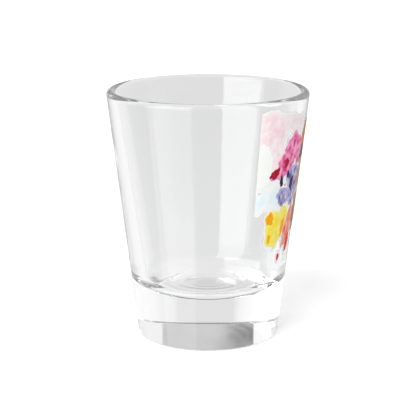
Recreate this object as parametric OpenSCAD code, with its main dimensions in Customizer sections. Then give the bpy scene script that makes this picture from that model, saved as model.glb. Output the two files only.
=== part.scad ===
// Tapered shot glass with a heavy solid base and a printed paint splash.
//
// Frame: +Z up, origin at the middle of the foot's resting face.
// +X runs out through the print, just beside its long brown stroke.
// Millimetres throughout.

/* [Glass] */
// Height from the table to the top of the lip
glass_h = 60; // [50:0.5:80]
// Largest outer diameter, at the lip
lip_d = 48.4; // [42:0.1:60]
// Outer diameter of the foot
foot_d = 34.4; // [28:0.1:38]
// Thickness of the rounded lip
lip_wall = 2.2; // [1.4:0.1:3]
// Inner diameter of the bowl at its floor
floor_d = 31.4; // [24:0.1:32]
// Thickness of the solid base under the bowl
base_h = 11.8; // [6:0.1:18]
// Radius inside the bowl where the wall meets the floor
bowl_fillet = 5; // [1:0.1:8]
// Radius around the foot's resting edge
foot_fillet = 0.5; // [0.2:0.1:2]

/* [Print] */
// Half of the angle that the print area spans around the wall
print_half_angle = 60; // [50:1:75]
// Height of the print area's lower edge
print_low = 19.5; // [14:0.5:22]
// Gap between the print area and the top of the lip
print_top_gap = 1.9; // [1.7:0.1:6]
// Thickness of the white ground
ground_t = 0.05; // [0.03:0.01:0.1]
// Thickness of the coloured ink on it
ink_t = 0.03; // [0.02:0.01:0.1]
// How far the white ground shows around each colour
ground_margin = 0.5; // [0:0.1:1]

/* [Hidden] */
$fn = 96;

// The print lies on this range of heights.
print_high = glass_h - print_top_gap;
// Angle of the wall that the inks are cut from, wider than the print by this much each side
shell_spare = 8;
// Length of the prisms that cut the inks from the wall, longer than any radius
cut_reach = lip_d;

// ---- glass: circles at the foot, the lip and the bowl's corner, joined by tangent lines ----

foot_r = foot_d / 2;
lip_round = lip_wall / 2;
foot_c = [foot_r - foot_fillet, foot_fillet];
lip_c = [lip_d / 2 - lip_round, glass_h - lip_round];
bowl_c = [floor_d / 2 - bowl_fillet, base_h + bowl_fillet];

// Unit normal of the line that touches circle a (radius ra) and circle b (radius rb) on their
// right-hand side, going up from a to b. A negative radius puts the line on b's left-hand side.
function tangent_normal(a, ra, b, rb) =
    let (d = b - a, turn = atan2(d.y, d.x) - acos((ra - rb) / norm(d)))
    [cos(turn), sin(turn)];

wall_n = tangent_normal(foot_c, foot_fillet, lip_c, lip_round);
bowl_n = tangent_normal(bowl_c, bowl_fillet, lip_c, -lip_round);
// Where the bowl's straight wall runs into the lip's round
lip_inside = lip_c - lip_round * bowl_n;

// Outer radius of the wall's straight part at height z
function wall_radius(z) =
    let (touch = foot_c + foot_fillet * wall_n)
    touch.x - (z - touch.y) * wall_n.y / wall_n.x;

// The blank before the bowl is cut: everything outside, up to the lip
module blank_section() {
    polygon([
        [0, 0],
        [foot_c.x, 0],
        foot_c + foot_fillet * wall_n,
        lip_c + lip_round * wall_n,
        lip_c,
        lip_inside,
        [0, lip_inside.y]
    ]);
    translate(foot_c) circle(foot_fillet);
}

// The bowl, with its rounded corner, carried on up past the lip
module bowl_section() {
    polygon([
        [0, base_h],
        [bowl_c.x, base_h],
        bowl_c + bowl_fillet * bowl_n,
        lip_inside,
        [lip_inside.x, glass_h + 1],
        [0, glass_h + 1]
    ]);
    translate(bowl_c) circle(bowl_fillet);
}

module glass_section() {
    difference() {
        blank_section();
        bowl_section();
    }
    translate(lip_c) circle(lip_round);
}

module glass_body() {
    color([0.93, 0.95, 0.95, 0.45])
        rotate_extrude() glass_section();
}

// ---- print: a skin of the outer wall, cut along X by outlines drawn in the YZ plane ----

// The art is drawn for this height of print area and scaled to the real one.
ART_H = 38.6;
ART_HALF_ANGLE = 60;
art_scale = (print_high - print_low) / ART_H;
art_turn = print_half_angle / ART_HALF_ANGLE;

// A point of the outer wall at an angle from +X, seen along X: [y, z]
function on_wall(angle, z) = [wall_radius(z) * sin(angle), z];

// Outline of one blot of paint. c is [angle, height above the print's lower edge], size is its
// half width and half height along the wall, tilt turns it, seed picks its lobes, and rough is
// how deep they are.
function blot(c, size, tilt, seed, rough, grow = 0, points = 36) =
    [for (i = [0 : points - 1])
        let (
            t = 360 * i / points,
            lobes = sin(3 * t + 47 * seed) + 0.8 * sin(5 * t + 91 * seed)
                + 0.5 * sin(8 * t + 131 * seed),
            k = 1 + rough * lobes,
            along = (size.x * k + grow) * art_scale * cos(t),
            up = (size.y * k + grow) * art_scale * sin(t),
            z = print_low + c.y * art_scale + along * sin(tilt) + up * cos(tilt),
            turn = (along * cos(tilt) - up * sin(tilt)) / wall_radius(z) * 180 / PI
        )
        on_wall(c.x * art_turn + turn, z)];

// The colours, from the palest wash, which goes down first, to the touches on top of it.
// Each blot is [[angle, height], [half width, half height], tilt, seed, roughness].
BLUSH = [
    [[-53, 32.6], [5.6, 5.7], 0, 1, 0.05],
    [[-46.5, 28.0], [2.8, 4.0], 12, 4, 0.05],
    [[-31, 34.6], [5.2, 1.9], -16, 5, 0.07],
    [[34, 13.0], [3.4, 3.2], 0, 2, 0.07]
];
MINT = [
    [[-56, 25.2], [2.6, 5.3], 0, 3, 0.05],
    [[37.5, 20.6], [2.0, 3.4], 0, 5, 0.06]
];
SKY = [
    [[-50.5, 17.0], [4.4, 2.1], 6, 6, 0.08],
    [[-57, 15.2], [1.4, 1.1], 35, 8, 0.10],
    [[-42, 15.4], [1.8, 1.6], -20, 7, 0.10],
    [[32, 27.2], [3.6, 2.8], -10, 36, 0.06]
];
LEMON = [
    [[-42, 9.8], [3.4, 4.5], 6, 9, 0.07],
    [[-33.5, 11.4], [2.6, 3.0], 0, 19, 0.08],
    [[15, 12.2], [3.0, 2.8], 0, 10, 0.08]
];
CORAL = [
    [[-24, 9.2], [2.4, 5.0], -12, 11, 0.07],
    [[18, 28.6], [2.6, 1.6], 10, 12, 0.08]
];
ROSE = [
    [[-29.5, 28.4], [3.9, 3.4], 20, 13, 0.07],
    [[-21, 27.4], [2.6, 3.6], 0, 46, 0.06],
    [[-35, 25.4], [3.6, 2.9], 0, 37, 0.08],
    [[-41.5, 23.3], [3.0, 2.0], 15, 14, 0.09],
    [[26.5, 18.6], [3.2, 2.8], -20, 15, 0.08]
];
VIOLET = [
    [[-24.5, 20.4], [3.6, 4.2], 10, 16, 0.07],
    [[-36, 17.2], [2.3, 2.3], 35, 17, 0.10],
    [[-25, 16.4], [2.4, 2.0], 0, 38, 0.08],
    [[16, 22.4], [3.0, 3.4], 0, 18, 0.08]
];
// One long brush stroke down the middle, as a row of overlapping dabs
UMBER = [
    for (i = [0 : 4])
        [[-11 - 0.1 * i * i, 30.6 - 4.7 * i], [2.8 - 0.1 * i, 4.0], -4, 50 + i, 0.04]
];
ORANGE = [
    [[-47, 12.2], [1.3, 1.6], 0, 20, 0.10],
    [[-46.5, 7.4], [0.5, 1.1], 0, 39, 0.10],
    [[-33, 9.8], [0.7, 2.4], -12, 21, 0.10],
    [[13, 12.6], [1.1, 1.4], 0, 22, 0.10]
];
CRIMSON = [
    [[-46, 23.2], [1.7, 1.1], 25, 23, 0.10],
    [[-36, 25.2], [0.8, 1.3], 0, 24, 0.10],
    [[25.5, 17.6], [1.3, 0.8], -30, 26, 0.10]
];
INDIGO = [
    [[-39.5, 21.0], [0.6, 1.4], 10, 27, 0.08],
    [[-33, 22.4], [0.5, 1.1], 0, 28, 0.08],
    [[-27.5, 19.8], [0.9, 1.7], -10, 29, 0.08],
    [[-14, 27.4], [0.4, 1.5], -8, 40, 0.06],
    [[17, 21.6], [0.8, 1.4], 20, 30, 0.08]
];
DROPS = [
    [[-34, 1.9], [0.5, 0.9], 0, 31, 0.05],
    [[-22.5, 4.8], [1.0, 2.2], -12, 32, 0.08],
    [[10, 8.4], [0.5, 0.7], 0, 33, 0.05]
];
INKS = [BLUSH, MINT, SKY, LEMON, CORAL, ROSE, VIOLET, UMBER, ORANGE, CRIMSON, INDIGO, DROPS];

// Where the white ground is left bare between the colours
BARE = [
    [[-30, 31.0], [4.0, 1.5], 25, 41, 0.06],
    [[-45, 20.8], [3.4, 2.8], 10, 42, 0.07],
    [[-35, 21.8], [3.0, 2.2], 0, 43, 0.07]
];

module blots(ink, grow = 0) {
    for (b = ink)
        polygon(blot(b[0], b[1], b[2], b[3], b[4], grow));
}

// The print area, whose side edges run straight up the wall
module print_area() {
    polygon([
        on_wall(-print_half_angle, print_low),
        on_wall(print_half_angle, print_low),
        on_wall(print_half_angle, print_high),
        on_wall(-print_half_angle, print_high)
    ]);
}

// The part of ink number i that no later ink covers
module ink_outline(i) {
    difference() {
        intersection() {
            print_area();
            blots(INKS[i]);
        }
        for (later = [i + 1 : 1 : len(INKS) - 1])
            blots(INKS[later]);
    }
}

module ground_outline() {
    intersection() {
        print_area();
        union() {
            for (ink = INKS)
                blots(ink, ground_margin);
            blots(BARE);
        }
    }
}

// A skin of the outer wall, from one distance off the glass to another
module wall_skin(inner, outer) {
    half = print_half_angle + shell_spare;
    function skin_point(z, off) = [wall_radius(z), z] + off * wall_n;
    low = print_low - 1;
    high = print_high + 1;
    rotate([0, 0, -half])
        rotate_extrude(angle = 2 * half)
            polygon([
                skin_point(low, inner),
                skin_point(low, outer),
                skin_point(high, outer),
                skin_point(high, inner)
            ]);
}

// The 2D children, drawn in the YZ plane, cut out of a skin of the wall
module film(inner, thickness) {
    intersection() {
        wall_skin(inner, inner + thickness);
        rotate([90, 0, 90]) linear_extrude(cut_reach) children();
    }
}

module ink(i) {
    film(ground_t, ink_t) ink_outline(i);
}

module print_white_ground() {
    color("white") film(0, ground_t) ground_outline();
}

module print_blush_wash() { color([0.98, 0.87, 0.88]) ink(0); }
module print_mint_wash() { color([0.97, 1.00, 0.95]) ink(1); }
module print_sky_wash() { color([0.89, 0.97, 0.99]) ink(2); }
module print_lemon_wash() { color([1.00, 0.90, 0.30]) ink(3); }
module print_coral_wash() { color([0.95, 0.55, 0.48]) ink(4); }
module print_rose_bloom() { color([0.87, 0.45, 0.62]) ink(5); }
module print_violet_bloom() { color([0.60, 0.52, 0.74]) ink(6); }
module print_umber_stroke() { color([0.62, 0.40, 0.25]) ink(7); }
module print_orange_accents() { color([1.00, 0.68, 0.15]) ink(8); }
module print_crimson_accents() { color([0.78, 0.12, 0.28]) ink(9); }
module print_indigo_accents() { color([0.22, 0.12, 0.38]) ink(10); }
module print_red_drops() { color([0.90, 0.15, 0.10]) ink(11); }

glass_body();
print_white_ground();
print_blush_wash();
print_mint_wash();
print_sky_wash();
print_lemon_wash();
print_coral_wash();
print_rose_bloom();
print_violet_bloom();
print_umber_stroke();
print_orange_accents();
print_crimson_accents();
print_indigo_accents();
print_red_drops();
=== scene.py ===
# %% [markdown]
# # A printed shot glass
# One piece of pressed glass with a heavy base, and a splash of coloured ink printed on its wall.
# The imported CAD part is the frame: it says where everything is, and how big.
# Each CAD node is replaced here by a finer piece of the same size, with the finish of the real thing.

# %% Load the frame
import math

import bpy
import numpy as np
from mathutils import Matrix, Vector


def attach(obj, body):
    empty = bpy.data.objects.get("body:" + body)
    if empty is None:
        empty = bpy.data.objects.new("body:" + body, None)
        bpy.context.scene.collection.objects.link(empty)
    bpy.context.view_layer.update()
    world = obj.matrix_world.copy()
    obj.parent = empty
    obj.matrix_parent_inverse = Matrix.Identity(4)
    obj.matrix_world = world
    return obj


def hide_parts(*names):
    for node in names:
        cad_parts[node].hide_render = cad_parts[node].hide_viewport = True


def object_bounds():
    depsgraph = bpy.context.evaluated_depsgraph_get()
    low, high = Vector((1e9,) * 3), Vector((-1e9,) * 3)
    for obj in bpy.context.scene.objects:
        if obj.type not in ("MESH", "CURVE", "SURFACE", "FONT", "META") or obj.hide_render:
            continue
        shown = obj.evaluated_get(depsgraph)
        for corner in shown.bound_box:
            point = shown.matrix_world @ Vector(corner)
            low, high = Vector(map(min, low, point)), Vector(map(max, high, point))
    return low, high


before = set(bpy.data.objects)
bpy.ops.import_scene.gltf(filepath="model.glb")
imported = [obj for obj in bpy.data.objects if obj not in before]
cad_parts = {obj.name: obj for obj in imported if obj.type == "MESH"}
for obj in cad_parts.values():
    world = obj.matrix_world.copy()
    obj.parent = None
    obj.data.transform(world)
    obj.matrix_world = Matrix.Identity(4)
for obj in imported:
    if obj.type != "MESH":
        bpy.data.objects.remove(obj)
cad_low, cad_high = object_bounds()
MM = 0.001
print("CAD box, mm:", [round(v / MM, 2) for v in (*cad_low, *cad_high)])

# %% [markdown]
# ## The glass's outline
# A press forces a plunger into a lump of hot glass in a mould. The mould makes the outside and the
# plunger makes the bowl, so the section is straight lines joined by rounds. The lip is melted round
# by a flame afterwards. The outline could be drawn by hand as a curve, but circles joined by lines
# that touch them give the true rounds, and they are the same circles and lines as in the CAD.
# The plunger also leaves gentle rings in the bowl's floor. They are under a tenth of a millimetre
# high, but glass makes them easy to see.

# %% Sizes of the glass, in mm
HEIGHT = (cad_high.z - cad_low.z) / MM
LIP_R = (cad_high.x - cad_low.x) / MM / 2
FOOT_R, FOOT_ROUND = 17.2, 0.5
LIP_ROUND = 1.1
BASE, BOWL_R, BOWL_ROUND = 11.8, 15.7, 5.0
RING_HEIGHT, RING_SPACING = 0.08, 3.6


def tangent_normal(a, ra, b, rb):
    """Unit normal of the line that touches both circles on the right, going up from a to b."""
    dx, dz = b[0] - a[0], b[1] - a[1]
    turn = math.atan2(dz, dx) - math.acos((ra - rb) / math.hypot(dx, dz))
    return np.array([math.cos(turn), math.sin(turn)])


FOOT_C = np.array([FOOT_R - FOOT_ROUND, FOOT_ROUND])
LIP_C = np.array([LIP_R - LIP_ROUND, HEIGHT - LIP_ROUND])
BOWL_C = np.array([BOWL_R - BOWL_ROUND, BASE + BOWL_ROUND])
WALL_N = tangent_normal(FOOT_C, FOOT_ROUND, LIP_C, LIP_ROUND)
BOWL_N = tangent_normal(BOWL_C, BOWL_ROUND, LIP_C, -LIP_ROUND)


def wall_radius(z):
    """Outer radius of the straight wall at height z, in mm."""
    touch = FOOT_C + FOOT_ROUND * WALL_N
    return touch[0] - (z - touch[1]) * WALL_N[1] / WALL_N[0]


print("wall leans", round(math.degrees(math.asin(-WALL_N[1])), 2), "degrees outwards")
print("lip radius", round(LIP_R, 2), "mm")


# %% Points and surface directions along the section
FOOT_STEPS, WALL_STEPS, LIP_STEPS, BOWL_STEPS, CORNER_STEPS, FLOOR_STEPS = 14, 40, 40, 36, 90, 100


def arc(centre, radius, start, end, steps):
    """Points and directions round part of a circle, angles in degrees."""
    out = []
    for i in range(steps + 1):
        a = math.radians(start + (end - start) * i / steps)
        n = np.array([math.cos(a), math.sin(a)])
        out.append((centre + radius * n, n))
    return out


def line(a, b, normal, steps):
    """Points along a straight stretch, without its two ends."""
    return [(a + (b - a) * i / steps, normal) for i in range(1, steps)]


def pressed_rings(points):
    """Raises and lowers the points along their direction, and leans the direction to match."""
    way = np.cumsum([0.0] + [math.dist(a[0], b[0]) for a, b in zip(points, points[1:])])
    inside = np.sin(np.pi * way / way[-1]) ** 2
    lift = RING_HEIGHT * np.sin(2 * np.pi * way / RING_SPACING) * inside
    slope = np.gradient(lift, way)
    out = []
    for (p, n), up, lean in zip(points, lift, slope):
        along = np.array([-n[1], n[0]])
        turned = n - lean * along
        out.append((p + up * n, turned / np.linalg.norm(turned)))
    return out


def section():
    """The whole outline from the foot's middle, up the wall, over the lip and down the bowl."""
    wall = math.degrees(math.atan2(WALL_N[1], WALL_N[0]))
    bowl = math.degrees(math.atan2(BOWL_N[1], BOWL_N[0]))
    down, up = np.array([0.0, -1.0]), np.array([0.0, 1.0])
    foot_middle, floor_middle = np.array([0.0, 0.0]), np.array([0.0, BASE])
    foot = arc(FOOT_C, FOOT_ROUND, -90, wall, FOOT_STEPS)
    lip = arc(LIP_C, LIP_ROUND, wall, 180 + bowl, LIP_STEPS)
    corner = [(p, -n) for p, n in arc(BOWL_C, BOWL_ROUND, bowl, -90, CORNER_STEPS)]
    points = [(foot_middle, down)] + line(foot_middle, foot[0][0], down, 10)
    points += foot + line(foot[-1][0], lip[0][0], WALL_N, WALL_STEPS)
    points += lip + line(lip[-1][0], corner[0][0], -BOWL_N, BOWL_STEPS)
    bowl_floor = line(corner[-1][0], floor_middle, up, FLOOR_STEPS) + [(floor_middle, up)]
    return points + pressed_rings(corner + bowl_floor)


SECTION = section()
print(len(SECTION), "points in the section")


# %% [markdown]
# ## Turning the outline into glass
# The glass is round, so its outline is turned about the axis. A Screw modifier could do it, but it
# guesses the surface's directions from the faces. Here the rings are built point by point, and
# every point keeps the exact direction of the true surface, because glass shows any facet as a
# bent reflection.

# %% Make the glass
SPIN = 288


def lathe(name, points, steps):
    """A closed solid of revolution with the section's own surface directions."""
    verts, normals, faces, rings = [], [], [], []
    for p, n in points:
        if p[0] < 1e-6:
            rings.append([len(verts)])
            verts.append((0.0, 0.0, p[1] * MM))
            normals.append((0.0, 0.0, n[1]))
            continue
        rings.append(list(range(len(verts), len(verts) + steps)))
        for k in range(steps):
            a = 2 * math.pi * k / steps
            verts.append((p[0] * math.cos(a) * MM, p[0] * math.sin(a) * MM, p[1] * MM))
            normals.append((n[0] * math.cos(a), n[0] * math.sin(a), n[1]))
    for low, high in zip(rings, rings[1:]):
        for k in range(steps):
            j = (k + 1) % steps
            if len(low) == 1:
                faces.append((low[0], high[j], high[k]))
            elif len(high) == 1:
                faces.append((low[k], low[j], high[0]))
            else:
                faces.append((low[k], low[j], high[j], high[k]))
    mesh = bpy.data.meshes.new(name)
    mesh.from_pydata(verts, [], faces)
    mesh.update()
    mesh.shade_smooth()
    mesh.normals_split_custom_set_from_vertices(normals)
    ob = bpy.data.objects.new(name, mesh)
    bpy.context.scene.collection.objects.link(ob)
    return ob


glass = lathe("pressed_glass", SECTION, SPIN)
print("glass faces:", len(glass.data.polygons))

# %% [markdown]
# ## The glass itself
# Clear glass, almost free of colour in a wall this thin. It could be a Glass shader, but here it is the
# Principled shader with full transmission. It bends light a little less than real soda-lime glass
# would, which puts the lines in the heavy base where they are seen on the real one. A glass shadow
# would be nearly black without caustics, so light that falls on the floor through the glass is only
# dimmed a little at each surface.

# %% Glass material
GLASS_BEND = 1.36
SHADE_PER_SURFACE = 0.7


def new_material(name):
    mat = bpy.data.materials.new(name)
    mat.use_nodes = True
    return mat, mat.node_tree.nodes, mat.node_tree.links, mat.node_tree.nodes["Principled BSDF"]


glass_mat, nodes, links, bsdf = new_material("clear_soda_lime")
bsdf.inputs["Base Color"].default_value = (0.992, 0.995, 0.994, 1)
bsdf.inputs["Roughness"].default_value = 0.0
bsdf.inputs["IOR"].default_value = GLASS_BEND
bsdf.inputs["Transmission Weight"].default_value = 1.0
clear = nodes.new("ShaderNodeBsdfTransparent")
clear.inputs["Color"].default_value = (SHADE_PER_SURFACE,) * 3 + (1,)
mix = nodes.new("ShaderNodeMixShader")
links.new(nodes.new("ShaderNodeLightPath").outputs["Is Shadow Ray"], mix.inputs["Fac"])
links.new(bsdf.outputs["BSDF"], mix.inputs[1])
links.new(clear.outputs["BSDF"], mix.inputs[2])
links.new(mix.outputs["Shader"], nodes["Material Output"].inputs["Surface"])
glass.data.materials.append(glass_mat)
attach(glass, "root")
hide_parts("glass_body")
print("glass bends light by", GLASS_BEND, "and each surface lets", SHADE_PER_SURFACE, "of it into the shadow")

# %% [markdown]
# ## The print
# The art is a splash of watercolour, printed in hard ink on a white ground. It could be one picture
# wrapped round the wall, but ink is printed colour by colour, so each colour is a piece of its own
# with its own edge and finish. A colour is a set of blots with lobed edges, and the colours follow
# each other from the palest wash to the touches on top of it.
# A blot is: angle round the glass, height over the print's lower edge, half width and half height
# in mm, tilt, seed of its lobes, and how deep they are.

# %% The blots of each colour
PRINT_LOW, PRINT_HIGH, HALF_ANGLE, MARGIN = 19.5, HEIGHT - 1.9, 60.0, 0.5

BLOTS = {
    "blush_wash": [
        (-53, 32.6, 5.6, 5.7, 0, 1, 0.05), (-46.5, 28.0, 2.8, 4.0, 12, 4, 0.05),
        (-31, 34.6, 5.2, 1.9, -16, 5, 0.07), (34, 13.0, 3.4, 3.2, 0, 2, 0.07)],
    "mint_wash": [(-56, 25.2, 2.6, 5.3, 0, 3, 0.05), (37.5, 20.6, 2.0, 3.4, 0, 5, 0.06)],
    "sky_wash": [
        (-50.5, 17.0, 4.4, 2.1, 6, 6, 0.08), (-57, 15.2, 1.4, 1.1, 35, 8, 0.10),
        (-42, 15.4, 1.8, 1.6, -20, 7, 0.10), (32, 27.2, 3.6, 2.8, -10, 36, 0.06)],
    "lemon_wash": [
        (-42, 9.8, 3.4, 4.5, 6, 9, 0.07), (-33.5, 11.4, 2.6, 3.0, 0, 19, 0.08),
        (15, 12.2, 3.0, 2.8, 0, 10, 0.08)],
    "coral_wash": [(-24, 9.2, 2.4, 5.0, -12, 11, 0.07), (18, 28.6, 2.6, 1.6, 10, 12, 0.08)],
    "rose_bloom": [
        (-29.5, 28.4, 3.9, 3.4, 20, 13, 0.07), (-21, 27.4, 2.6, 3.6, 0, 46, 0.06),
        (-35, 25.4, 3.6, 2.9, 0, 37, 0.08),
        (-41.5, 23.3, 3.0, 2.0, 15, 14, 0.09), (26.5, 18.6, 3.2, 2.8, -20, 15, 0.08)],
    "violet_bloom": [
        (-24.5, 20.4, 3.6, 4.2, 10, 16, 0.07), (-36, 17.2, 2.3, 2.3, 35, 17, 0.10),
        (-25, 16.4, 2.4, 2.0, 0, 38, 0.08), (16, 22.4, 3.0, 3.4, 0, 18, 0.08)],
    "umber_stroke": [
        (-11 - 0.1 * i * i, 30.6 - 4.7 * i, 2.8 - 0.1 * i, 4.0, -4, 50 + i, 0.04) for i in range(5)],
    "orange_accents": [
        (-47, 12.2, 1.3, 1.6, 0, 20, 0.10), (-46.5, 7.4, 0.5, 1.1, 0, 39, 0.10),
        (-33, 9.8, 0.7, 2.4, -12, 21, 0.10), (13, 12.6, 1.1, 1.4, 0, 22, 0.10)],
    "crimson_accents": [
        (-46, 23.2, 1.7, 1.1, 25, 23, 0.10), (-36, 25.2, 0.8, 1.3, 0, 24, 0.10),
        (25.5, 17.6, 1.3, 0.8, -30, 26, 0.10)],
    "indigo_accents": [
        (-39.5, 21.0, 0.6, 1.4, 10, 27, 0.08), (-33, 22.4, 0.5, 1.1, 0, 28, 0.08),
        (-27.5, 19.8, 0.9, 1.7, -10, 29, 0.08), (-14, 27.4, 0.4, 1.5, -8, 40, 0.06),
        (17, 21.6, 0.8, 1.4, 20, 30, 0.08)],
    "red_drops": [
        (-34, 1.9, 0.5, 0.9, 0, 31, 0.05), (-22.5, 4.8, 1.0, 2.2, -12, 32, 0.08),
        (10, 8.4, 0.5, 0.7, 0, 33, 0.05)],
}
# Where the white ground is left bare between the colours
BARE = [
    (-30, 31.0, 4.0, 1.5, 25, 41, 0.06), (-45, 20.8, 3.4, 2.8, 10, 42, 0.07),
    (-35, 21.8, 3.0, 2.2, 0, 43, 0.07)]
print(sum(len(b) for b in BLOTS.values()), "blots in", len(BLOTS), "colours")

# %% [markdown]
# Paint has torn, wandering edges. They could be drawn as curves, but a depth is easier to tear:
# for every point of a fine grid over the wall and every colour, it says how far inside that
# colour's edge the point is, in mm. A little cloudy noise is added, so that the edges wander like
# those of paint on rough paper.

# %% Depth of every colour on the grid
TURN_STEP, RISE_STEP = 0.5, 0.2
LAST_TURN = 50  # no blot reaches further round than this
MIDDLE_RADIUS = 21.0
TEARS = ((0.28, 1.6, 1), (0.22, 0.7, 2), (0.12, 0.35, 3))  # mm of tear, mm across a lump, seed
turns = np.arange(-HALF_ANGLE - 1, LAST_TURN, TURN_STEP)
rises = np.arange(PRINT_LOW - 0.3, PRINT_HIGH + 0.4, RISE_STEP)
TURN, RISE = np.meshgrid(turns, rises)
RADIUS = wall_radius(RISE)
ARC = np.radians(TURN) * MIDDLE_RADIUS


def cloud(size, seed):
    """Smooth noise from -1 to 1 whose lumps are about this many mm across."""
    values = np.random.default_rng(seed).uniform(-1, 1, (80, 80))
    u, v = (ARC + 40) / size, (RISE - PRINT_LOW + 5) / size
    i, j = u.astype(int) % 79, v.astype(int) % 79
    fu, fv = u - np.floor(u), v - np.floor(v)
    fu, fv = fu * fu * (3 - 2 * fu), fv * fv * (3 - 2 * fv)
    low = values[j, i] * (1 - fu) + values[j, i + 1] * fu
    high = values[j + 1, i] * (1 - fu) + values[j + 1, i + 1] * fu
    return low * (1 - fv) + high * fv


LOBES = ((1, 3, 47), (0.8, 5, 91), (0.5, 8, 131))  # strength, how many round the blot, turn per seed


def blot_depth(blot):
    """Distance inside one blot's lobed edge, in mm; negative outside it."""
    turn, rise, wide, tall, tilt, seed, rough = blot
    c, s = math.cos(math.radians(tilt)), math.sin(math.radians(tilt))
    across = np.radians(TURN - turn) * RADIUS
    up = RISE - PRINT_LOW - rise
    a, b = (across * c + up * s) / wide, (up * c - across * s) / tall
    t = np.arctan2(b, a)
    lobes = sum(k * np.sin(n * t + math.radians(m * seed)) for k, n, m in LOBES)
    return (1 + rough * lobes - np.hypot(a, b)) * min(wide, tall)


torn = sum(strength * cloud(size, seed) for strength, size, seed in TEARS)
area = np.minimum.reduce([
    np.radians(TURN + HALF_ANGLE) * RADIUS, np.radians(HALF_ANGLE - TURN) * RADIUS,
    RISE - PRINT_LOW, PRINT_HIGH - RISE])
depth = {}
for name, blots in BLOTS.items():
    smallest = min(min(b[2], b[3]) for b in blots)
    fine = min(1.0, smallest / 1.6)
    depth[name] = np.minimum(area, np.maximum.reduce([blot_depth(b) for b in blots]) + fine * torn)
bare = np.maximum.reduce([blot_depth(b) for b in BARE]) + torn
deepest = max(float(d.max()) for d in depth.values())
print("grid:", TURN.shape, "points, most paint depth", round(deepest, 2), "mm")

# %% [markdown]
# A colour shows only where no later colour covers it. The films could be stacked instead, but they
# lie side by side here as in the CAD, so no film cuts through another. The white ground runs under
# them all and stands out half a millimetre round them.

# %% What shows of each colour
names = list(BLOTS)
shows = {}
for i, name in enumerate(names):
    later = [-depth[n] for n in names[i + 1:]]
    shows[name] = np.minimum.reduce([depth[name]] + later)
ground = np.minimum(area, np.maximum(np.maximum.reduce(list(depth.values())) + MARGIN, bare))
for name in names:
    print(name, "shows on", round(float((shows[name] > 0).mean() * 100), 1), "% of the grid")

# %% [markdown]
# ## From depths to films
# Cured ink is a film you can feel with a fingernail. It could be cut from the wall with booleans,
# which leave ragged slivers on pieces this thin. Instead each shape is cut out of the grid along
# its edge, wrapped round the wall, and closed into a thin film. A hair of air is left behind the
# white ground, which keeps the lip and the base sparkling instead of glowing with the print's white.

# %% Make a film
def film(name, field, inner, outer, values):
    """A closed film on the wall wherever the field is above 0, keeping one value per point."""
    points, index, polygons = [], {}, []

    def point(key, r0, c0, r1, c1):
        if key not in index:
            f0, f1 = field[r0, c0], field[r1, c1]
            t = 0.0 if (r0, c0) == (r1, c1) else min(0.98, max(0.02, f0 / (f0 - f1)))
            index[key] = len(points)
            points.append([g[r0, c0] * (1 - t) + g[r1, c1] * t for g in (TURN, RISE, values)])
        return index[key]

    inside = field > 0
    near = inside[:-1, :-1] | inside[1:, :-1] | inside[:-1, 1:] | inside[1:, 1:]
    for r, c in np.argwhere(near):
        corners = [(r, c), (r, c + 1), (r + 1, c + 1), (r + 1, c)]
        polygon = []
        for a, b in zip(corners, corners[1:] + corners[:1]):
            if inside[a]:
                polygon.append(point((a, a), *a, *a))
            if inside[a] != inside[b]:
                polygon.append(point((min(a, b), max(a, b)), *min(a, b), *max(a, b)))
        polygons.append(polygon)

    p = np.array(points)
    c, s, n = np.cos(np.radians(p[:, 0])), np.sin(np.radians(p[:, 0])), len(points)
    out_dir = np.stack([WALL_N[0] * c, WALL_N[0] * s, np.full(n, WALL_N[1])], axis=1)
    wall = np.stack([wall_radius(p[:, 1]) * c, wall_radius(p[:, 1]) * s, p[:, 1]], axis=1)
    verts = np.concatenate([(wall + outer * out_dir) * MM, (wall + inner * out_dir) * MM])
    used = {(a, b) for poly in polygons for a, b in zip(poly, poly[1:] + poly[:1])}
    faces = list(polygons) + [[v + n for v in reversed(poly)] for poly in polygons]
    faces += [(b, a, a + n, b + n) for a, b in sorted(used) if (b, a) not in used]
    mesh = bpy.data.meshes.new(name)
    mesh.from_pydata(verts.tolist(), [], faces)
    mesh.update()
    mesh.shade_smooth()
    mesh.normals_split_custom_set_from_vertices(np.concatenate([out_dir, -out_dir]).tolist())
    mesh.attributes.new("depth", "FLOAT", "POINT").data.foreach_set("value", np.concatenate([p[:, 2]] * 2))
    ob = bpy.data.objects.new(name, mesh)
    bpy.context.scene.collection.objects.link(ob)
    return ob


print("a film is cut to", TURN_STEP, "degree and", RISE_STEP, "mm")

# %% [markdown]
# ## Paint
# Watercolour is never one flat colour. Pigment drifts into clouds, gathers in a darker line along
# some edges, and settles into the paper's grain; a wash also pales towards its edge. The clouds and
# the grain are noise, and the edge comes from the depth that each film keeps at its points. A
# painted image would hold more, but these few causes make a paint that has the right look close up.

# %% Paint material
GRAIN_SIZE = 0.35  # mm
INK_ROUGHNESS, INK_GLOSS = 0.42, 0.12


def rgb(*screen):
    """A colour given as on a screen, 0 to 255, turned into linear light."""
    return tuple(v / 255 / 12.92 if v < 11 else ((v / 255 + 0.055) / 1.055) ** 2.4 for v in screen) + (1,)


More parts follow.
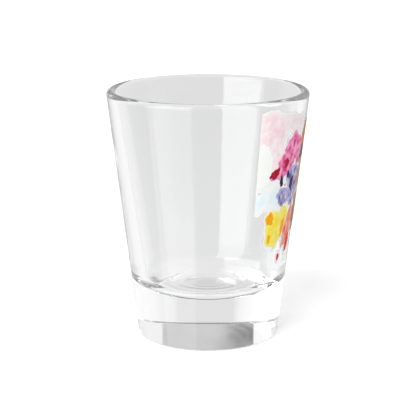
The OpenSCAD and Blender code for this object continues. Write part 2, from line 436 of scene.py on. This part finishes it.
def paint(name, pale, strong, fade, clouds, pool, strokes=(1, 1, 1), least=0.0, bands=None):
    """pale to strong: colours; fade: mm over which the edge pales; clouds: their size in mm;
    pool: strength of the edge line; strokes: stretch of the clouds; least: least pigment."""
    mat, nodes, links, bsdf = new_material(name)

    def node(kind, inputs=(), **settings):
        n = nodes.new(kind)
        for key, value in settings.items():
            setattr(n, key, value)
        for socket, value in inputs:
            if hasattr(value, "links"):
                links.new(value, n.inputs[socket])
            else:
                n.inputs[socket].default_value = value
        return n

    def spread(value, low, high, bottom, top):
        """bottom at low, top at high, straight between and level beyond."""
        ends = [("Value", value), (1, low), (2, high), (3, bottom), (4, top)]
        return node("ShaderNodeMapRange", ends).outputs[0]

    spot = node("ShaderNodeTexCoord").outputs["Object"]
    place = node("ShaderNodeMapping", [("Vector", spot), ("Scale", strokes)]).outputs[0]
    edge = node("ShaderNodeAttribute", attribute_name="depth").outputs["Fac"]
    cloud_scale, grain_scale = 1 / (clouds * MM), 1 / (GRAIN_SIZE * MM)
    big = node("ShaderNodeTexNoise", [("Vector", place), ("Scale", cloud_scale), ("Detail", 4.0)])
    fine = node("ShaderNodeTexNoise", [("Vector", place), ("Scale", grain_scale), ("Detail", 2.0)])
    inner = spread(edge, 0.0, fade, 0.25, 1.0)
    drift = spread(big.outputs["Fac"], 0.36, 0.64, least, 1.0)
    line_in = spread(edge, 0.02, 0.35, pool, 0.0)
    grain = node("ShaderNodeMath", [(0, fine.outputs["Fac"]), (1, 0.5)], operation="SUBTRACT").outputs[0]
    tone = node("ShaderNodeMath", [(0, inner), (1, drift)], operation="MULTIPLY").outputs[0]
    tone = node("ShaderNodeMath", [(0, grain), (1, 0.7), (2, tone)], operation="MULTIPLY_ADD").outputs[0]
    tone = node("ShaderNodeMath", [(0, tone), (1, line_in)], operation="ADD", use_clamp=True).outputs[0]
    if bands:
        level = node("ShaderNodeSeparateXYZ", [(0, spot)]).outputs["Z"]
        share = spread(level, PRINT_LOW * MM, PRINT_HIGH * MM, 0.0, 1.0)
        stripes = node("ShaderNodeValToRGB", [(0, share)])
        for k, (z, colour) in enumerate(bands):
            at = (z - PRINT_LOW) / (PRINT_HIGH - PRINT_LOW)
            stop = stripes.color_ramp.elements[k] if k < 2 else stripes.color_ramp.elements.new(at)
            stop.position, stop.color = at, rgb(*colour)
        deep = stripes.outputs["Color"]
    else:
        deep = rgb(*strong)
    mixed = node("ShaderNodeMix", [(0, tone), (6, rgb(*pale)), (7, deep)], data_type="RGBA")
    links.new(mixed.outputs[2], bsdf.inputs["Base Color"])
    rough = [("Strength", 0.25), ("Distance", 0.02 * MM), ("Height", fine.outputs["Fac"])]
    links.new(node("ShaderNodeBump", rough).outputs[0], bsdf.inputs["Normal"])
    bsdf.inputs["Roughness"].default_value = INK_ROUGHNESS
    bsdf.inputs["Specular IOR Level"].default_value = INK_GLOSS
    return mat


# %% The colours of the paints
UMBER_BANDS = [  # height on the glass in mm, colour
    (22.0, (120, 64, 28)), (27.0, (176, 112, 58)), (31.0, (150, 88, 40)), (35.5, (196, 134, 84)),
    (36.6, (222, 214, 198)), (38.0, (205, 142, 92)), (41.4, (196, 128, 78)), (42.4, (192, 174, 150)),
    (44.4, (150, 140, 120)), (45.0, (22, 26, 24)), (47.2, (30, 30, 26)), (48.0, (205, 120, 52)),
    (51.0, (196, 108, 44)), (54.5, (104, 52, 30))]
PAINTS = {  # pale, strong, fade, clouds, pool, strokes, least
    "blush_wash": ((255, 247, 248), (252, 220, 227), 1.6, 2.0, 0.05, (1, 1, 1)),
    "mint_wash": ((255, 255, 253), (249, 254, 246), 1.2, 2.6, 0.10, (1, 1, 1)),
    "sky_wash": ((250, 255, 255), (230, 249, 253), 1.0, 2.4, 0.10, (1, 1, 1)),
    "lemon_wash": ((255, 248, 140), (255, 226, 0), 0.8, 1.4, 0.05, (1, 1, 0.4)),
    "coral_wash": ((255, 198, 176), (238, 92, 66), 0.6, 1.1, 0.25, (1, 1, 0.4)),
    "rose_bloom": ((255, 176, 216), (226, 36, 126), 0.7, 1.3, 0.25, (1, 1, 0.8)),
    "violet_bloom": ((214, 212, 240), (82, 58, 156), 0.9, 1.2, 0.20, (1, 1, 0.6)),
    "umber_stroke": ((206, 160, 118), (140, 84, 40), 0.15, 1.2, 0.30, (1, 1, 0.3), 0.75),
    "orange_accents": ((255, 214, 30), (255, 146, 0), 0.3, 1.0, 0.20, (1, 1, 0.6), 0.2),
    "crimson_accents": ((222, 40, 90), (150, 0, 28), 0.2, 0.8, 0.30, (1, 1, 0.8), 0.4),
    "indigo_accents": ((92, 40, 140), (10, 0, 34), 0.2, 0.8, 0.40, (1, 1, 0.5), 0.5),
    "red_drops": ((255, 62, 40), (226, 8, 4), 0.2, 1.0, 0.40, (1, 1, 1), 0.4),
}
print(len(PAINTS), "paints, and", len(UMBER_BANDS), "bands on the brown stroke")

# %% Lay the films on the wall
GROUND_IN, GROUND_OUT, INK_OUT = 0.004, 0.05, 0.08
base_coat = film("white_ground_film", ground, GROUND_IN, GROUND_OUT, ground)
base_coat.data.materials.append(paint("white_ground", (255, 255, 255), (250, 250, 249), 0.3, 3.0, 0.0))
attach(base_coat, "root")
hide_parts("print_white_ground")
for name in names:
    piece = film(name + "_film", shows[name], GROUND_OUT, INK_OUT, depth[name])
    bands = UMBER_BANDS if name == "umber_stroke" else None
    piece.data.materials.append(paint(name, *PAINTS[name], bands=bands))
    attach(piece, "root")
    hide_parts("print_" + name)
    print(piece.name, len(piece.data.polygons), "faces")

# %% [markdown]
# ## Floor and key light
# The glass stands on a plain white floor, with one soft light from the front left that lays a pale
# shadow to the right. Real lamps and cards could light it, but one wide sun gives the same even, soft
# edge everywhere. The glass doesn't see this floor. It sees one that is worked out with the studio
# below, so that its shade can be set for each direction.

# %% Floor
FLOOR_WHITE = 0.86
bpy.ops.mesh.primitive_plane_add(size=6)
floor = bpy.context.object
floor.name = "floor"
floor_mat, nodes, links, bsdf = new_material("white_floor")
bsdf.inputs["Base Color"].default_value = (FLOOR_WHITE,) * 3 + (1,)
bsdf.inputs["Roughness"].default_value = 1.0
bsdf.inputs["Specular IOR Level"].default_value = 0.0
floor.data.materials.append(floor_mat)
floor.visible_glossy = False
floor.visible_transmission = False
floor.visible_diffuse = False
print("floor reflects", FLOOR_WHITE, "of the light")

# %% Key light
KEY_STRENGTH = 3.0
KEY_WIDTH, KEY_TIP, KEY_TURN = 38, 46, -33  # degrees
key_data = bpy.data.lights.new("key", "SUN")
key_data.energy = KEY_STRENGTH
key_data.angle = math.radians(KEY_WIDTH)
key = bpy.data.objects.new("key", key_data)
bpy.context.scene.collection.objects.link(key)
key.rotation_euler = (math.radians(KEY_TIP), 0, math.radians(KEY_TURN))
key.visible_glossy = False
key.visible_transmission = False
print("key light stands", 90 - KEY_TIP, "degrees up")

# %% [markdown]
# ## What the glass sees
# Clear glass has no look of its own: all that shows in it is the room, bent and mirrored. The room
# could be built of cards and lamps round the glass. Here it is worked out from the direction that a
# ray leaves in, which has no noise, and lets the same card stand behind the glass from four sides.
# First come a few helpers, and the ray's direction as two angles.

# %% Studio helpers
world = bpy.data.worlds.new("studio")
bpy.context.scene.world = world
world.use_nodes = True
room, room_links = world.node_tree.nodes, world.node_tree.links
room.clear()


def calc(operation, *values):
    """One sum on numbers or on the outputs of other nodes."""
    n = room.new("ShaderNodeMath")
    n.operation = operation
    for socket, value in zip(n.inputs, values):
        if isinstance(value, (int, float)):
            socket.default_value = value
        else:
            room_links.new(value, socket)
    return n.outputs[0]


def ramp(x, low, high, bottom=0.0, top=1.0):
    """bottom below low, top above high, smooth between."""
    n = room.new("ShaderNodeMapRange")
    n.interpolation_type = "SMOOTHSTEP"
    room_links.new(x, n.inputs["Value"])
    for socket, value in (("From Min", low), ("From Max", high), ("To Min", bottom), ("To Max", top)):
        n.inputs[socket].default_value = value
    return n.outputs["Result"]


def band(x, low, high, soft):
    """1 between low and high, 0 elsewhere."""
    return calc("MULTIPLY", ramp(x, low - soft, low + soft), ramp(x, high - soft, high + soft, 1, 0))


split = room.new("ShaderNodeSeparateXYZ")
room_links.new(room.new("ShaderNodeTexCoord").outputs["Generated"], split.inputs[0])
X, Y, Z = split.outputs
# Degrees round the glass, 0 straight behind it and positive to the right, and degrees up
around = calc("MULTIPLY", calc("ARCTAN2", X, Y), 180 / math.pi)
height = calc("MULTIPLY", calc("ARCSINE", Z), 180 / math.pi)
# Degrees aside from the nearest of the four directions that have a card
quarter = calc("FLOORED_MODULO", calc("ADD", around, 45), 90)
aside = calc("ABSOLUTE", calc("SUBTRACT", quarter, 45))
print("studio nodes for the direction:", len(room))

# %% [markdown]
# The floor that the glass sees is palest to the sides and close by. A step in it, a little beside
# the card, makes the upright edges in the heavy base.

# %% Floor below the horizon
FLOOR_SEEN = 0.925
floor_side = calc("ADD", ramp(aside, 11.5, 15, 0, 0.12), ramp(aside, 13, 30, 0, 0.16))
floor_near = calc("ADD", ramp(height, -18, -10, 0.05, 0), ramp(height, -45, -18, 0.08, 0))
below = calc("ADD", calc("MAXIMUM", floor_side, floor_near), FLOOR_SEEN)
print("studio nodes with the floor:", len(room))

# %% [markdown]
# Above the horizon all is pale, but for a grey card. The foot mirrors the card as a dark oblong,
# which is what makes a clear base look heavy. Faint streaks on it keep the oblong from being flat.

# %% Grey card
PALE = 1.12
CARD_HALF_WIDTH, CARD_LOW, CARD_HIGH = 24, 8, 42  # degrees
card_edge = ramp(aside, CARD_HALF_WIDTH - 0.8, CARD_HALF_WIDTH + 0.8, 1, 0)
card = calc("MULTIPLY", card_edge, band(height, CARD_LOW, CARD_HIGH, 1.5))
streaks = room.new("ShaderNodeTexNoise")
streaks.inputs["Scale"].default_value = 1.0
streak_place = room.new("ShaderNodeCombineXYZ")
room_links.new(calc("MULTIPLY", around, 0.06), streak_place.inputs[0])
room_links.new(calc("MULTIPLY", height, 0.9), streak_place.inputs[1])
room_links.new(streak_place.outputs[0], streaks.inputs["Vector"])
streak = calc("MULTIPLY", calc("SUBTRACT", streaks.outputs["Fac"], 0.5), ramp(around, -24, 6, 1.1, 0.15))
card_shade = calc("ADD", ramp(around, -26, -2, 0.30, 0.74), streak)
pale_part = calc("MULTIPLY", calc("SUBTRACT", 1, card), PALE)
above = calc("ADD", calc("MULTIPLY", card, card_shade), pale_part)
print("card:", 2 * CARD_HALF_WIDTH, "degrees wide,", CARD_HIGH - CARD_LOW, "high")

# %% [markdown]
# A tall soft panel at the front left is mirrored as the bright upright streaks down the wall. The
# ceiling is dark, which draws the thin dark line along the lip.

# %% Panel and ceiling
PANEL_LEFT, PANEL_RIGHT = -160, -107  # degrees
CEILING_SHADE = 0.2
panel_height = calc("ADD", band(height, -45, 60, 3), calc("MULTIPLY", band(height, -18, 60, 3), 1.7))
panel = calc("MULTIPLY", band(around, PANEL_LEFT, PANEL_RIGHT, 1.5), panel_height)
floor_part = calc("MULTIPLY", ramp(height, -2, 4, 1, 0), below)
seen = calc("ADD", floor_part, calc("MULTIPLY", ramp(height, -2, 4), above))
seen = calc("ADD", seen, calc("MULTIPLY", panel, 2.0))
seen = calc("MULTIPLY", seen, ramp(height, 52, 60, 1, CEILING_SHADE))
print("studio nodes with the panel and ceiling:", len(room))

# %% [markdown]
# Light that is caught inside the wall turns many times before it leaves, and real glass takes a
# little of it on the way. Here it arrives weaker the more often it has turned, and the lip gets
# thin dark edges instead of torn white ones. Only bent and mirrored light sees the studio; the
# floor and the ink are lit by an even white, which is also the white behind the glass.

# %% Light the studio
DIM_FROM, DIM_TO, DIM_LEAST = 5, 13, 0.3
path = room.new("ShaderNodeLightPath")
seen = calc("MULTIPLY", seen, ramp(path.outputs["Ray Depth"], DIM_FROM, DIM_TO, 1, DIM_LEAST))
bent = calc("MAXIMUM", path.outputs["Is Glossy Ray"], path.outputs["Is Transmission Ray"])
strength = calc("ADD", calc("MULTIPLY", bent, seen), calc("SUBTRACT", 1, bent))
back = room.new("ShaderNodeBackground")
room_links.new(strength, back.inputs["Strength"])
room_links.new(back.outputs[0], room.new("ShaderNodeOutputWorld").inputs[0])
print("studio nodes in all:", len(room))

# %% [markdown]
# ## Camera
# A long lens from a little above, as for a product on a table: it keeps the walls of the glass
# straight and shows the rim as a narrow oval. Many bounces are allowed, because a ray cut short
# inside the glass would leave a black patch.

# %% Camera
CAMERA_BACK, CAMERA_UP, CAMERA_TILT, LENS = 0.320, 0.111, 14.1, 117.35
BOUNCES = 200
cam_data = bpy.data.cameras.new("camera")
cam = bpy.data.objects.new("camera", cam_data)
bpy.context.scene.collection.objects.link(cam)
cam.location = (0, -CAMERA_BACK, CAMERA_UP)
cam.rotation_euler = (math.radians(90 - CAMERA_TILT), 0, 0)
cam_data.lens = LENS
cam_data.sensor_width = 36
cam_data.clip_start = 0.01
bpy.context.scene.camera = cam
scene = bpy.context.scene
scene.view_settings.view_transform = "Standard"
scene.cycles.max_bounces = BOUNCES
scene.cycles.transmission_bounces = BOUNCES
scene.cycles.glossy_bounces = BOUNCES
print("camera looks down by", CAMERA_TILT, "degrees")
